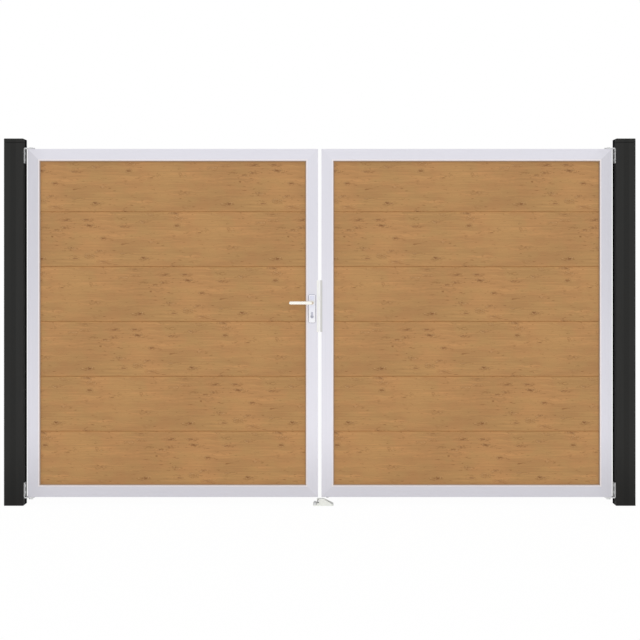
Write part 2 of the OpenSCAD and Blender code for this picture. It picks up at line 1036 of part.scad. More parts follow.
// One of its outlines, seen from the street, with the soft edges of a casting
module stop_outline(top) {
    intersection() {
        translate([-stop_left, 0])
            square([stop_left + stop_right, top]);
        offset(r = stop_round)
            offset(r = -2 * stop_round)
                offset(r = stop_round)
                    polygon([
                        [-stop_left, -stop_h], [stop_right, -stop_h],
                        [stop_right, stop_foot / 2], [stop_top_right, top],
                        [-stop_top_left, top],
                        [-stop_top_left, stop_foot], [-stop_left, stop_foot],
                    ]);
    }
}

module ground_stop() {
    depth = stop_front + stop_back - cheek_t;
    mid_y = stop_back - depth / 2;
    hollow_right = pocket_left() - stop_wall;
    difference() {
        union() {
            translate([0, mid_y, 0])
                upright(depth)
                    stop_outline(stop_h);
            translate([0, (cheek_t + eps) / 2 - stop_front, 0])
                upright(cheek_t + eps)
                    stop_outline(stop_h + cheek_rise);
        }
        translate([0, mid_y, 0])
            upright(depth - 2 * stop_wall)
                polygon([
                    [stop_wall - stop_top_left, -1], [hollow_right, -1],
                    [hollow_right, ramp(hollow_right) - 1.2 * stop_wall],
                    [stop_top_right - stop_wall / 2, stop_h - stop_wall],
                    [stop_wall - stop_top_left, stop_h - stop_wall],
                ]);
        translate([pocket_left(), rod_y - pocket_s / 2, pocket_floor()])
            cube([pocket_s, pocket_s, stop_h]);
        for (y = anchor_y)
            translate([anchor_x, y, -1])
                cylinder(r = anchor_d / 2 + 0.2, h = stop_foot + 2);
    }
}

function pocket_left() = rod_x - pocket_s / 2;
function ramp(x) =
    stop_h - (x - stop_top_right) * (stop_h - stop_foot / 2) / (stop_right - stop_top_right);
function pocket_floor() = rod_tip_z - rod_drop - 3;

module stop_anchors() {
    for (y = anchor_y)
        translate([anchor_x, y, 0]) {
            cylinder(d = anchor_d, h = anchor_top);
            translate([0, 0, stop_foot])
                cylinder(d = 2 * anchor_d, h = washer_t);
            translate([0, 0, stop_foot + washer_t - eps])
                cylinder(d = nut_s / cos(30), h = nut_h, $fn = 6);
        }
}

color(anthracite) post(false);  // left_post
color(anthracite) post(true);  // right_post
color(anthracite) post_cap(false);  // left_post_cap
color(anthracite) post_cap(true);  // right_post_cap
color(steel) place_bracket(false, true) bracket();  // left_top_bracket
color(steel) place_bracket(false, false) bracket();  // left_bottom_bracket
color(steel) place_bracket(true, true) bracket();  // right_top_bracket
color(steel) place_bracket(true, false) bracket();  // right_bottom_bracket
color(steel) pivot_bolts();
color(steel) bracket_screws();
color(zinc) ground_stop();
color(black) stop_anchors();

color(aluminium) rail(false, true);  // left_top_rail
color(aluminium) rail(false, false);  // left_bottom_rail
color(aluminium) hinge_stile(false);  // left_hinge_stile
color(aluminium) lock_stile(false);  // left_lock_stile
color(steel) corner_cleats(false);  // left_corner_cleats
color(black) setting_blocks(false);  // left_setting_blocks
color(black) pivot_bushes(false);  // left_pivot_bushes
color(light_oak) board(false, 1);  // left_board_1
color(light_oak) board(false, 2);  // left_board_2
color(light_oak) board(false, 3);  // left_board_3
color(light_oak) board(false, 4);  // left_board_4
color(light_oak) board(false, 5);  // left_board_5
color(light_oak) board(false, 6);  // left_board_6

color(aluminium) rail(true, true);  // right_top_rail
color(aluminium) rail(true, false);  // right_bottom_rail
color(aluminium) hinge_stile(true);  // right_hinge_stile
color(aluminium) lock_stile(true);  // right_lock_stile
color(steel) corner_cleats(true);  // right_corner_cleats
color(black) setting_blocks(true);  // right_setting_blocks
color(black) pivot_bushes(true);  // right_pivot_bushes
color(light_oak) board(true, 1);  // right_board_1
color(light_oak) board(true, 2);  // right_board_2
color(light_oak) board(true, 3);  // right_board_3
color(light_oak) board(true, 4);  // right_board_4
color(light_oak) board(true, 5);  // right_board_5
color(light_oak) board(true, 6);  // right_board_6

color(steel) lock_case();
color(steel) lock_case_cover();
color(bright) lock_forend();
color(steel) forend_screws();
color(bright) handle_plate(false);  // front_handle_plate
color(bright) handle_plate(true);  // back_handle_plate
color(steel) plate_screws();
color(steel) lock_cylinder();
color(bright) lever(false);  // front_lever
color(bright) lever(true);  // back_lever
color(steel) spindle();
color(steel) lock_follower();
color(steel) latch_bolt();
color(steel) deadbolt();
color(steel) key_plug();

color(steel) strike();
color(steel) strike_screws();
color(steel) drop_bolt_guide();
color(steel) guide_screws();
color(steel) drop_bolt_rod();
color(black) drop_bolt_grip();
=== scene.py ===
# %% [markdown]
# # A double garden gate
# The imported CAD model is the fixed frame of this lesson: two aluminium-framed
# leaves filled with PVC boards, between two posts. Here it gets its camera, its
# light, its finishes and the small parts that are easier to model in Blender.

# %% Load the frame
import math

import bmesh
import bpy
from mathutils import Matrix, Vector


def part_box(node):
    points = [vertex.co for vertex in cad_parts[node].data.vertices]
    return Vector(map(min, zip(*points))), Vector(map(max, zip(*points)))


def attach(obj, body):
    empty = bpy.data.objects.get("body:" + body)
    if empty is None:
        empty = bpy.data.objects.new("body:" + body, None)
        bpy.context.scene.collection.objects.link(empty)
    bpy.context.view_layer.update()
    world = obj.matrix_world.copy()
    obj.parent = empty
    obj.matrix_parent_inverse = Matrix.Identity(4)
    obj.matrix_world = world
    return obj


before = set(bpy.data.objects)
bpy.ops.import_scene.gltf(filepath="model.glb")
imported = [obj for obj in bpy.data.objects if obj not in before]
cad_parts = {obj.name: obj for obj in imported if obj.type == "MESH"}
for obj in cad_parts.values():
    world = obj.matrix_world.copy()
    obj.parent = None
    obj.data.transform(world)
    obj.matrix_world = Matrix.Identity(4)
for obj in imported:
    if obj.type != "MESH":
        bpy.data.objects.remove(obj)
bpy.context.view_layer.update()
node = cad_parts
X, Y, Z = range(3)

# %% [markdown]
# ## Camera
# The photograph is a straight front view through a long lens. The posts' inner
# sides just show, which fixes the distance. The camera is level, and a vertical
# shift keeps the posts upright while the gate sits high in the picture.

# %% Camera
EYE = Vector((0.0, -7.85, 1.2325))
FOCAL_PX = 1514.5
PICTURE_PX = 640
HORIZON_PX = 267.0
SHIFT_X = 0.0004

camera_data = bpy.data.cameras.new("camera")
camera_data.sensor_width = 36.0
camera_data.lens = camera_data.sensor_width * FOCAL_PX / PICTURE_PX
camera_data.shift_x = SHIFT_X
camera_data.shift_y = (HORIZON_PX - PICTURE_PX / 2) / PICTURE_PX
camera = bpy.data.objects.new("camera", camera_data)
camera.location = EYE
camera.rotation_euler = (math.pi / 2, 0.0, 0.0)
bpy.context.scene.collection.objects.link(camera)
bpy.context.scene.camera = camera
bpy.context.scene.view_settings.view_transform = "Standard"
print("lens", round(camera_data.lens, 2), "mm")

# %% [markdown]
# ## Helpers for node materials
# Every finish is a Principled shader whose inputs come from procedural patterns
# on Object coordinates, in metres. These helpers keep the node code short.


# %% Node helpers
class Finish:
    """A material under construction: its nodes, its links and its shader."""

    def __init__(self, name, roughness, metallic=0.0, specular=0.5):
        self.mat = bpy.data.materials.new(name)
        self.mat.use_nodes = True
        self.nodes = self.mat.node_tree.nodes
        self.links = self.mat.node_tree.links
        self.shader = self.nodes["Principled BSDF"]
        self.shader.inputs["Roughness"].default_value = roughness
        self.shader.inputs["Metallic"].default_value = metallic
        self.shader.inputs["Specular IOR Level"].default_value = specular
        self.place = self.add("TexCoord").outputs["Object"]

    def add(self, kind, inputs=None, **settings):
        """A new node; an input is either a value or another node's output."""
        made = self.nodes.new("ShaderNode" + kind)
        for key, value in settings.items():
            setattr(made, key, value)
        for key, value in (inputs or {}).items():
            if isinstance(value, bpy.types.NodeSocket):
                self.links.new(value, made.inputs[key])
            else:
                made.inputs[key].default_value = value
        return made

    def math(self, operation, a, b=0.0, c=0.0):
        return self.add("Math", {0: a, 1: b, 2: c}, operation=operation).outputs[0]

    def axes(self):
        """The place's distances from the origin along X, Y and Z."""
        return self.add("SeparateXYZ", {0: self.place}).outputs

    def stretch(self, scale, place=None):
        inputs = {"Vector": place or self.place, "Scale": scale}
        return self.add("Mapping", inputs).outputs[0]

    def noise(self, scale, detail, place=None):
        """Noise whose grain has its own size along each axis, in cycles a metre."""
        inputs = {"Vector": self.stretch(scale, place), "Scale": 1.0, "Detail": detail}
        return self.add("TexNoise", inputs).outputs["Fac"]

    def ramp(self, value, low, high, to_low=0.0, to_high=1.0):
        """Goes softly from to_low to to_high while the value goes from low to high."""
        inputs = {0: value, 1: low, 2: high, 3: to_low, 4: to_high}
        made = self.add("MapRange", inputs, interpolation_type="SMOOTHSTEP")
        return made.outputs[0]

    def mix(self, share, a, b, blend="MIX"):
        """The colour a, with this share of the colour b in it."""
        made = self.add("Mix", data_type="RGBA", blend_type=blend)
        for socket, value in zip((0, 6, 7), (share, a, b)):
            if isinstance(value, bpy.types.NodeSocket):
                self.links.new(value, made.inputs[socket])
            elif socket == 0:
                made.inputs[socket].default_value = value
            else:
                made.inputs[socket].default_value = (*value, 1.0)
        return made.outputs[2]

    def turn(self, tone, colour, axis, low, high):
        """Turns a tone into the colour between two distances from zero on an axis."""
        distance = self.math("ABSOLUTE", self.axes()[axis])
        return self.mix(self.ramp(distance, low, high), tone, colour)

    def colour(self, value):
        self.links.new(value, self.shader.inputs["Base Color"])

    def rough(self, value, low, high):
        made = self.add("MapRange", {0: value, 3: low, 4: high})
        self.links.new(made.outputs[0], self.shader.inputs["Roughness"])

    def bump(self, height, distance, strength):
        inputs = {"Height": height, "Distance": distance, "Strength": strength}
        made = self.add("Bump", inputs)
        self.links.new(made.outputs[0], self.shader.inputs["Normal"])


def linear(red, green, blue):
    """A colour as a picture editor shows it (0 to 255), as Blender wants it."""
    return tuple(
        c / 12.92 if c <= 0.04045 else ((c + 0.055) / 1.055) ** 2.4
        for c in (red / 255, green / 255, blue / 255)
    )


def times(colour, share):
    """The same colour, darker with a share below 1 and lighter above it."""
    return tuple(c * share for c in colour)


# %% [markdown]
# ## Light oak foil
# The boards are extruded PVC with a printed and embossed foil: a honey-brown
# ground that changes slowly in tone, fine grain along the board, and small knots
# with the grain bending round them. The print comes from a cylinder, so it
# repeats every 1.22 m, and each row of boards is cut from the strip at another
# place. The material works the same way: it rolls the board's length round a
# cylinder of that length and takes the patterns there, which makes them repeat
# without a seam.

# %% Light oak
BOARD_COVER = 0.284
STACK_Z = 0.098
PRINT_LENGTH = 1.222
LEAF_STEP = 1.512
PRINT_STARTS = {1: -0.25, 2: 0.0, 3: 0.51, 4: 0.25, 5: 0.77, 6: 0.54}
OAK = linear(190, 141, 89)
HONEY = linear(185, 146, 91)
DASH = linear(146, 100, 56)
PALE_ARC = linear(212, 170, 118)
DARK_ARC = linear(142, 96, 52)
KNOT = linear(138, 92, 50)


def light_oak(board, start):
    """The foil on one row of boards; start is where its print begins, in metres."""
    oak = Finish(f"light_oak_{board}", roughness=0.5, specular=0.3)
    axes = oak.axes()
    on_right_leaf = oak.math("GREATER_THAN", axes[X], 0.0)
    along = oak.math("SUBTRACT", axes[X], oak.math("MULTIPLY", on_right_leaf, LEAF_STEP))
    along = oak.math("SUBTRACT", along, start)
    board_foot = STACK_Z + (len(PRINT_STARTS) - board) * BOARD_COVER
    across = oak.math("SUBTRACT", axes[Z], board_foot)
    radius = PRINT_LENGTH / (2 * math.pi)
    angle = oak.math("DIVIDE", along, radius)
    roll_x = oak.math("MULTIPLY", oak.math("COSINE", angle), radius)
    roll_y = oak.math("MULTIPLY", oak.math("SINE", angle), radius)

    def on_print(height):
        """The place on the rolled print at this height above the board's foot."""
        return oak.add("CombineXYZ", {0: roll_x, 1: roll_y, 2: height}).outputs[0]

    # Knots: cells stretched along the grain, their edges made ragged by noise
    wobble = oak.noise((38, 38, 130), 3.0, on_print(across))
    sway = oak.math("MULTIPLY_ADD", wobble, 0.012, across)
    cell_place = oak.stretch((9.5, 9.5, 30), on_print(sway))
    cells = oak.add("TexVoronoi", {"Vector": cell_place, "Scale": 1.0, "Randomness": 1.0})
    chance = oak.add("SeparateColor", {0: cells.outputs["Color"]}).outputs[0]
    ragged = oak.math("SUBTRACT", oak.math("MULTIPLY", wobble, 0.9), 0.45)
    reach = oak.math("ADD", cells.outputs["Distance"], ragged)
    near = oak.ramp(reach, 0.62, 0.05)
    kept = oak.ramp(chance, 0.42, 0.72)
    core = oak.math("MULTIPLY", oak.ramp(reach, 0.2, 0.08), kept)

    # The grain bends round each knot, in arcs that are dark and light by turns
    bent = on_print(oak.math("MULTIPLY_ADD", near, 0.010, across))
    waves = oak.math("MULTIPLY_ADD", reach, 21.0, oak.math("MULTIPLY", wobble, 5.0))
    arcs = oak.math("MULTIPLY", oak.math("SINE", waves), oak.ramp(reach, 0.5, 0.15))
    dark_arc = oak.math("MULTIPLY", oak.ramp(arcs, 0.2, 0.9, 0.0, 0.6), kept)
    pale_arc = oak.math("MULTIPLY", oak.ramp(arcs, -0.2, -0.9, 0.0, 0.8), kept)
    streaks = oak.noise((5, 5, 150), 4.0, bent)
    pores = oak.noise((34, 34, 900), 1.0, bent)
    dashes = oak.noise((26, 26, 150), 2.0, bent)

    # The ground is broad bands, and each layer on it covers a share of what is below
    slow = oak.noise((2.6, 2.6, 1.2), 1.0, on_print(across))
    broad = oak.noise((1.8, 1.8, 20), 2.0, bent)
    warm = oak.noise((9, 9, 16), 2.0, on_print(across))
    tone = oak.mix(oak.ramp(broad, 0.25, 0.75), times(OAK, 0.89), times(OAK, 1.11))
    for share, layer in (
        (oak.ramp(warm, 0.35, 0.65, 0.0, 0.6), HONEY),
        (oak.ramp(streaks, 0.42, 0.72, 0.0, 0.6), times(OAK, 0.8)),
        (oak.ramp(streaks, 0.45, 0.25, 0.0, 0.6), times(OAK, 1.22)),
        (oak.ramp(slow, 0.5, 0.7, 0.0, 0.3), times(OAK, 0.78)),
        (oak.ramp(slow, 0.5, 0.3, 0.0, 0.3), times(OAK, 1.2)),
        (oak.ramp(dashes, 0.64, 0.74, 0.0, 0.8), DASH),
        (oak.ramp(pores, 0.62, 0.78, 0.0, 0.35), times(OAK, 0.6)),
        (pale_arc, PALE_ARC),
        (dark_arc, DARK_ARC),
        (oak.math("MULTIPLY", core, 0.85), KNOT),
    ):
        tone = oak.mix(share, tone, layer)
    oak.colour(tone)
    oak.rough(streaks, 0.44, 0.6)
    relief = oak.math("ADD", oak.math("MULTIPLY", streaks, 0.6), pores)
    oak.bump(relief, 0.00015, 0.6)
    return oak.mat


foils = {board: light_oak(board, start) for board, start in PRINT_STARTS.items()}
print("foils", len(foils))

# %% [markdown]
# ## Anodised aluminium
# The frame is drawn aluminium with a pale silver anodised skin. Drawing leaves
# fine lines along each profile, so the rails and the stiles need the same finish
# with its lines turned: along X on the rails, along Z on the stiles. Each kind of
# member gets its own share of the silver, lit and shaded copies of one finish:
# painted light on the top rails and lock stiles, painted shade on the foot rails
# and hinge stiles. Painted shade also darkens the rails towards the hinges, and
# the stiles towards foot and top.


# %% Anodised aluminium
def drawn_metal(name, colour, lines, roughness, metallic, low=1.0, high=1.0, turn=None):
    """Satin metal with fine drawing lines; lines gives cycles a metre per axis.

    Painted shade: its tone is low times the colour near the ground, and high times near
    the top.
    With turn, (colour, axis, low, high), it also turns to a colour along an axis.
    """
    made = Finish(name, roughness, metallic)
    height = made.axes()[Z]
    # Painted shade: darker by low towards the ground and by high towards the top
    foot = made.ramp(height, 0.02, 0.42, low, 1.0)
    head = made.ramp(height, 0.5, 1.5, 1.0, high)
    shade = made.math("MULTIPLY", foot, head)
    fine = made.noise(lines, 2.0)
    cloud = made.noise((2.0, 2.0, 2.0), 2.0)
    tone = made.mix(cloud, times(colour, 0.97), times(colour, 1.02))
    tone = made.mix(made.ramp(fine, 0.35, 0.7, 0.0, 0.5), tone, times(colour, 0.95))
    if turn:
        tone = made.turn(tone, *turn)
    grey = made.add("CombineColor", {0: shade, 1: shade, 2: shade}).outputs[0]
    made.colour(made.mix(1.0, tone, grey, blend="MULTIPLY"))
    made.rough(fine, roughness - 0.05, roughness + 0.06)
    made.bump(fine, 0.00003, 0.5)
    return made.mat


SILVER = linear(224, 223, 231)
SATIN = {"roughness": 0.42, "metallic": 0.55}
ALONG_X = (3, 700, 700)
ALONG_Z = (700, 700, 3)
HINGE_SHADE_FROM, HINGE_SHADE_TO = 1.40, 1.485


def rail_silver(name, share):
    """The skin of a rail: share times the silver as its painted light level, with painted
    shade at the hinge end.
    """
    tone = times(SILVER, share)
    # Painted shade at the hinge end of each rail
    painted_hinge_shade = (times(tone, 0.94), X, HINGE_SHADE_FROM, HINGE_SHADE_TO)
    return drawn_metal(name, tone, ALONG_X, **SATIN, turn=painted_hinge_shade)


def stile_silver(name, share, low, high):
    """The skin of a stile: share times the silver as its painted light level, with
    painted shade at its foot and its top.
    """
    tone = times(SILVER, share)
    return drawn_metal(name, tone, ALONG_Z, **SATIN, low=low, high=high)


# Lit and shaded copies of one silver: painted light on top rails and lock stiles, painted
# shade on foot rails and hinge stiles
top_silver_painted_light = rail_silver("anodised_top_painted_light", 1.12)
foot_silver_painted_shade = rail_silver("anodised_foot_painted_shade", 0.92)
hinge_silver_painted_shade = stile_silver("anodised_hinge_painted_shade", 1.08, low=0.8, high=0.89)
lock_silver_painted_light = stile_silver("anodised_lock_painted_light", 1.18, low=0.81, high=0.93)

# %% [markdown]
# ## Powder coat
# Posts and caps are anthracite grey, baked powder: matt, with a fine orange peel.
# Painted shade darkens it near the ground, along the shallow groove in the middle
# of each face, in the cap's joint and on the back of the sides that face the leaves.

# %% Powder coat
ANTHRACITE = linear(49, 49, 48)
POWDER_GLOSS = 0.12
GROOVE_FROM, GROOVE_TO, GROOVE_EDGE = 1.566, 1.6, 0.005
CAP_JOINT_Z = 1.876
POST_INSIDE = 1.53

powder = Finish("anthracite_powder", roughness=0.75, specular=POWDER_GLOSS)
axes = powder.axes()
aside = powder.math("ABSOLUTE", axes[X])
peel = powder.noise((900, 900, 900), 2.0)
drift = powder.noise((30, 30, 1.5), 2.0)
# Painted shade along the shallow groove in the middle of each face
painted_groove_shade = powder.math(
    "MULTIPLY",
    powder.ramp(aside, GROOVE_FROM, GROOVE_FROM + GROOVE_EDGE),
    powder.ramp(aside, GROOVE_TO, GROOVE_TO - GROOVE_EDGE),
)
# Distance from the cap's joint, where painted shade marks the gap
from_joint = powder.math("ABSOLUTE", powder.math("SUBTRACT", axes[Z], CAP_JOINT_Z))
# Painted shade on the back of the inner sides, which look into the slit by the leaves
painted_inner_shade = powder.math(
    "MULTIPLY",
    powder.ramp(aside, POST_INSIDE + 0.004, POST_INSIDE + 0.0005),
    powder.ramp(axes[Y], -0.005, 0.028),
)
tone = powder.mix(drift, times(ANTHRACITE, 0.86), times(ANTHRACITE, 1.12))
for share, layer in (
    (powder.ramp(peel, 0.5, 0.8, 0.0, 0.3), times(ANTHRACITE, 1.25)),
    (painted_groove_shade, times(ANTHRACITE, 0.84)),
    # Painted shade near the ground
    (powder.ramp(axes[Z], 0.35, 0.0, 0.0, 0.5), times(ANTHRACITE, 0.35)),
    (powder.ramp(from_joint, 0.0024, 0.0010), times(ANTHRACITE, 0.35)),
    (painted_inner_shade, times(ANTHRACITE, 0.12)),
):
    tone = powder.mix(share, tone, layer)
powder.colour(tone)
# The painted shade on the inner sides also takes away their gloss
gloss = powder.add("MapRange", {0: painted_inner_shade, 3: POWDER_GLOSS, 4: 0.0}).outputs[0]
powder.links.new(gloss, powder.shader.inputs["Specular IOR Level"])
powder.rough(peel, 0.7, 0.82)
powder.bump(peel, 0.00006, 0.6)

# %% [markdown]
# ## Smaller finishes
# Zinc-plated steel is mottled and cast aluminium is grainy. The lock's front plates
# are brushed, and the handle is polished. The strike gets painted shade away from
# the leaves' meeting line, and each handle plate a painted reflection, bright low
# down and dimmer towards its top. Bushes, grip and ferrule are black nylon, and
# seal, gasket and buffer are rubber in three tones; the seal's grey edge round each
# plate is also painted shadow, standing in for the plate's contact shadow. The
# keyway's near-black is painted shade of the key's slot.


# %% Smaller finishes
def mottled(name, colour, scale, depth, roughness, metallic, spread=0.06, turn=None):
    """A finish with soft spots: scale in cycles a metre, depth of the grain in metres.

    With turn, (colour, axis, low, high), its tone turns to a colour along an axis.
    """
    made = Finish(name, roughness, metallic)
    spots = made.noise((scale, scale, scale), 4.0)
    fine = made.noise((scale * 6, scale * 6, scale * 6), 2.0)
    tone = made.mix(spots, times(colour, 1 - spread), times(colour, 1 + spread))
    if turn:
        tone = made.turn(tone, *turn)
    made.colour(tone)
    made.rough(fine, roughness - 0.07, roughness + 0.08)
    made.bump(fine, depth, 0.7)
    return made.mat


def rubber(name, colour):
    """Matt rubber with a fine grain."""
    return mottled(name, colour, 400, 0.00005, 0.7, 0.0, spread=0.1)


POLISHED = linear(251, 251, 255)
PLATE_TOP_PAINTED_DIM = linear(229, 230, 246)
STRIKE = linear(236, 235, 233)
# Painted shade: the strike darkens away from the leaves' meeting line
STRIKE_PAINTED_SHADE = (times(STRIKE, 0.72), X, 0.0, 0.014)
BRUSHED = (900, 900, 6)

# Name, colour, spots a metre, depth of the grain, roughness, metallic
zinc = mottled("zinc_plate", linear(222, 224, 226), 140, 0.00003, 0.34, 0.8)
cast = mottled(
    "cast_aluminium", linear(242, 244, 238), 260, 0.00015, 0.6, 0.1, spread=0.05
)
nylon = mottled("black_nylon", linear(34, 34, 35), 300, 0.00004, 0.5, 0.0, spread=0.15)
anchor_steel = mottled("anchor_steel", linear(226, 226, 228), 200, 0.00004, 0.42, 0.3)
nickel = mottled("nickel_plate", linear(200, 201, 214), 120, 0.00001, 0.3, 0.6)
lock_steel = mottled("lock_steel", linear(190, 192, 196), 160, 0.00002, 0.35, 0.85)
# Painted shade: near-black for the shade inside the key's slot
keyway_painted_shade = mottled("keyway_painted_shade", linear(40, 40, 48), 400, 0.00002, 0.5, 0.3, spread=0.1)
lever_alloy = mottled(
    "lever_alloy", linear(255, 253, 243), 90, 0.00001, 0.22, 1.0, spread=0.0
)
rim_alloy = mottled("rim_alloy", POLISHED, 90, 0.00001, 0.3, 0.85, spread=0.0)
# Painted reflection: the plate is bright low down and turns dimmer towards its top
plate_alloy_painted_reflection = mottled(
    "plate_alloy_painted_reflection", POLISHED, 90, 0.00001, 0.3, 0.9, spread=0.0,
    turn=(PLATE_TOP_PAINTED_DIM, Z, 0.96, 1.09),
)
seal_rubber_and_painted_shadow = rubber("grey_rubber_and_painted_shadow", linear(118, 121, 132))
gasket_rubber = rubber("gasket_rubber", linear(182, 157, 135))
buffer_rubber = rubber("buffer_rubber", linear(150, 151, 150))

# Name, colour, lines a metre, roughness, metallic
# Painted highlight: the bead is lighter than the frame's silver; low and high give it
# painted shade
bead_silver_painted_highlight = drawn_metal(
    "bead_silver_painted_highlight", linear(255, 248, 249), (40, 700, 40), 0.36, 0.2, low=0.86, high=0.95
)
forend_steel = drawn_metal("brushed_forend", linear(255, 255, 252), BRUSHED, 0.36, 0.2)
strike_steel = drawn_metal("brushed_strike", STRIKE, BRUSHED, 0.38, 0.5, turn=STRIKE_PAINTED_SHADE)

# %% [markdown]
# ## Brackets
# The brackets are zinc plated too, but bright and a little duller. The flange that
# lies on the post's side looks into a narrow slit, so its face between the front
# and the back edge gets painted shade.

# %% Bracket finish
BRACKET = linear(236, 237, 238)
FLANGE_FROM, FLANGE_TO = 1.5215, 1.5245
SLIT_FROM, SLIT_TO = 0.0195, 0.014

bracket = Finish("zinc_bracket", roughness=0.36, metallic=0.4)
spots = bracket.noise((140, 140, 140), 4.0)
tone = bracket.mix(spots, times(BRACKET, 0.94), BRACKET)
axes = bracket.axes()
flange = bracket.ramp(bracket.math("ABSOLUTE", axes[X]), FLANGE_FROM, FLANGE_TO)
inside = bracket.ramp(bracket.math("ABSOLUTE", axes[Y]), SLIT_FROM, SLIT_TO)
# Painted shade on the flange face inside the slit
painted_slit_shade = bracket.math("MULTIPLY", flange, inside)
bracket.colour(bracket.mix(painted_slit_shade, tone, times(BRACKET, 0.06)))
bracket.rough(spots, 0.3, 0.44)

# %% [markdown]
# ## Put the finishes on the CAD pieces
# A CAD piece keeps its shape, and only the material in its slot changes.

# %% Finishes on the CAD pieces
FINISHES = {
    powder.mat: ["left_post", "right_post", "left_post_cap", "right_post_cap"],
    top_silver_painted_light: ["left_top_rail", "right_top_rail"],
    foot_silver_painted_shade: ["left_bottom_rail", "right_bottom_rail"],
    hinge_silver_painted_shade: ["left_hinge_stile", "right_hinge_stile"],
    lock_silver_painted_light: ["left_lock_stile", "right_lock_stile"],
    **{foils[i]: [f"left_board_{i}", f"right_board_{i}"] for i in foils},
    bracket.mat: [
        "left_top_bracket", "left_bottom_bracket", "right_top_bracket",
        "right_bottom_bracket", "pivot_bolts",
    ],
    zinc: [
        "bracket_screws", "strike_screws", "forend_screws", "plate_screws",
        "drop_bolt_guide", "guide_screws", "drop_bolt_rod",
    ],
    cast: ["ground_stop", "left_corner_cleats", "right_corner_cleats"],
    anchor_steel: ["stop_anchors"],
    nylon: [
        "left_pivot_bushes", "right_pivot_bushes", "left_setting_blocks",
        "right_setting_blocks", "drop_bolt_grip",
    ],
    lever_alloy: ["front_lever", "back_lever"],
    plate_alloy_painted_reflection: ["front_handle_plate", "back_handle_plate"],
    nickel: ["lock_cylinder", "key_plug"],
    forend_steel: ["lock_forend"],
    strike_steel: ["strike", "latch_bolt"],
    lock_steel: [
        "lock_case", "lock_case_cover", "spindle", "lock_follower", "deadbolt",
    ],
}
for finish, names in FINISHES.items():
    for name in names:
        slots = node[name].data.materials
        for i in range(len(slots)):
            slots[i] = finish
finished = sum(len(names) for names in FINISHES.values())
print("finished", finished, "of", len(node), "CAD pieces")

# %% [markdown]
# ## Helpers for modelling
# Every new piece starts as a primitive at its size and place, is shaped in edit
# mode, and ends as a mesh in world coordinates with its object at the origin.


# %% Modelling helpers
# How a new primitive is turned
FACING = (math.pi / 2, 0, 0)
UPRIGHT = (0, 0, 0)

# Which axes a mirrored copy flips
TO_BACK = (1, -1, 1)
TO_RIGHT = (-1, 1, 1)
TO_RIGHT_BACK = (-1, -1, 1)


def deselect():
    """Deselects everything, because an operator acts on all that is selected."""
    bpy.ops.object.select_all(action="DESELECT")


def block(size, place):
    """A box of this size, left in edit mode, where its middle is the origin."""
    deselect()
    bpy.ops.mesh.primitive_cube_add(size=1.0, location=place)
    bpy.ops.object.mode_set(mode="EDIT")
    bpy.ops.transform.resize(value=size)


def turned(radius, depth, place, rotation, vertices):
    """A cylinder that faces the street or stands upright, in world coordinates."""
    deselect()
    bpy.ops.mesh.primitive_cylinder_add(
        vertices=vertices, radius=radius, depth=depth, location=place, rotation=rotation
    )
    bpy.ops.object.transform_apply(location=True, rotation=True, scale=True)


def pick(kind, test):
    """Selects the faces or the edges that pass the test.

    The test gets the middle of each, in the mesh's own coordinates, and itself.
    """
    bpy.ops.object.mode_set(mode="EDIT")
    bpy.ops.mesh.select_mode(type={"faces": "FACE", "edges": "EDGE"}[kind])
    bpy.ops.mesh.select_all(action="DESELECT")
    mesh = bmesh.from_edit_mesh(bpy.context.object.data)
    for item in getattr(mesh, kind):
        middle = sum((v.co for v in item.verts), Vector()) / len(item.verts)
        if test(middle, item):
            item.select_set(True)
    bmesh.update_edit_mesh(bpy.context.object.data)


def round_corners(offset, segments):
    """Rounds a block's edges that run from the street to the garden."""

    def runs_back(middle, edge):
        return abs(edge.verts[0].co.y - edge.verts[1].co.y) > 0.0001

    pick("edges", runs_back)
    bpy.ops.mesh.bevel(offset=offset, segments=segments, affect="EDGES")


def pierce(width):
    """Opens a slab or a disc from front to back and leaves a ring of this width."""
    for side in (-1, 1):
        pick("faces", lambda middle, face, side=side: side * face.normal.y > 0.9)
        bpy.ops.mesh.inset(thickness=width)
    # The two faces inside the insets have many corners, and the rest have four
    pick("faces", lambda middle, face: abs(face.normal.y) > 0.9 and len(face.verts) > 10)
    bpy.ops.mesh.bridge_edge_loops()


def modify(kind, **settings):
    """Adds a modifier to the active piece and applies it."""
    bpy.ops.object.mode_set(mode="OBJECT")
    added = bpy.context.object.modifiers.new(kind.lower(), kind)
    for key, value in settings.items():
        setattr(added, key, value)
    bpy.ops.object.modifier_apply(modifier=added.name)


def settle(name, body, finish):
    """Puts the piece's place into its mesh, and gives it its name, body and finish."""
    bpy.ops.object.mode_set(mode="OBJECT")
    piece = bpy.context.object
    bpy.ops.object.transform_apply(location=True, rotation=True, scale=True)
    bpy.ops.object.shade_smooth_by_angle(angle=math.radians(35))
    piece.name = piece.data.name = name
    piece.data.materials.clear()
    piece.data.materials.append(finish)
    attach(piece, body)
    print(name, [round(v * 1000, 1) for v in piece.dimensions], "mm")
    return piece


def mirrored_copy(piece, name, body, finish, flip):
    """A copy with its own mesh; flip has -1 for each axis that is mirrored."""
    deselect()
    piece.select_set(True)
    bpy.context.view_layer.objects.active = piece
    bpy.ops.object.duplicate(linked=False)
    bpy.ops.object.mode_set(mode="EDIT")
    bpy.ops.mesh.select_all(action="SELECT")
    bpy.ops.transform.resize(value=flip, center_override=(0.0, 0.0, 0.0))
    bpy.ops.mesh.remove_doubles(threshold=0.000001)
    bpy.ops.mesh.normals_make_consistent(inside=False)
    return settle(name, body, finish)


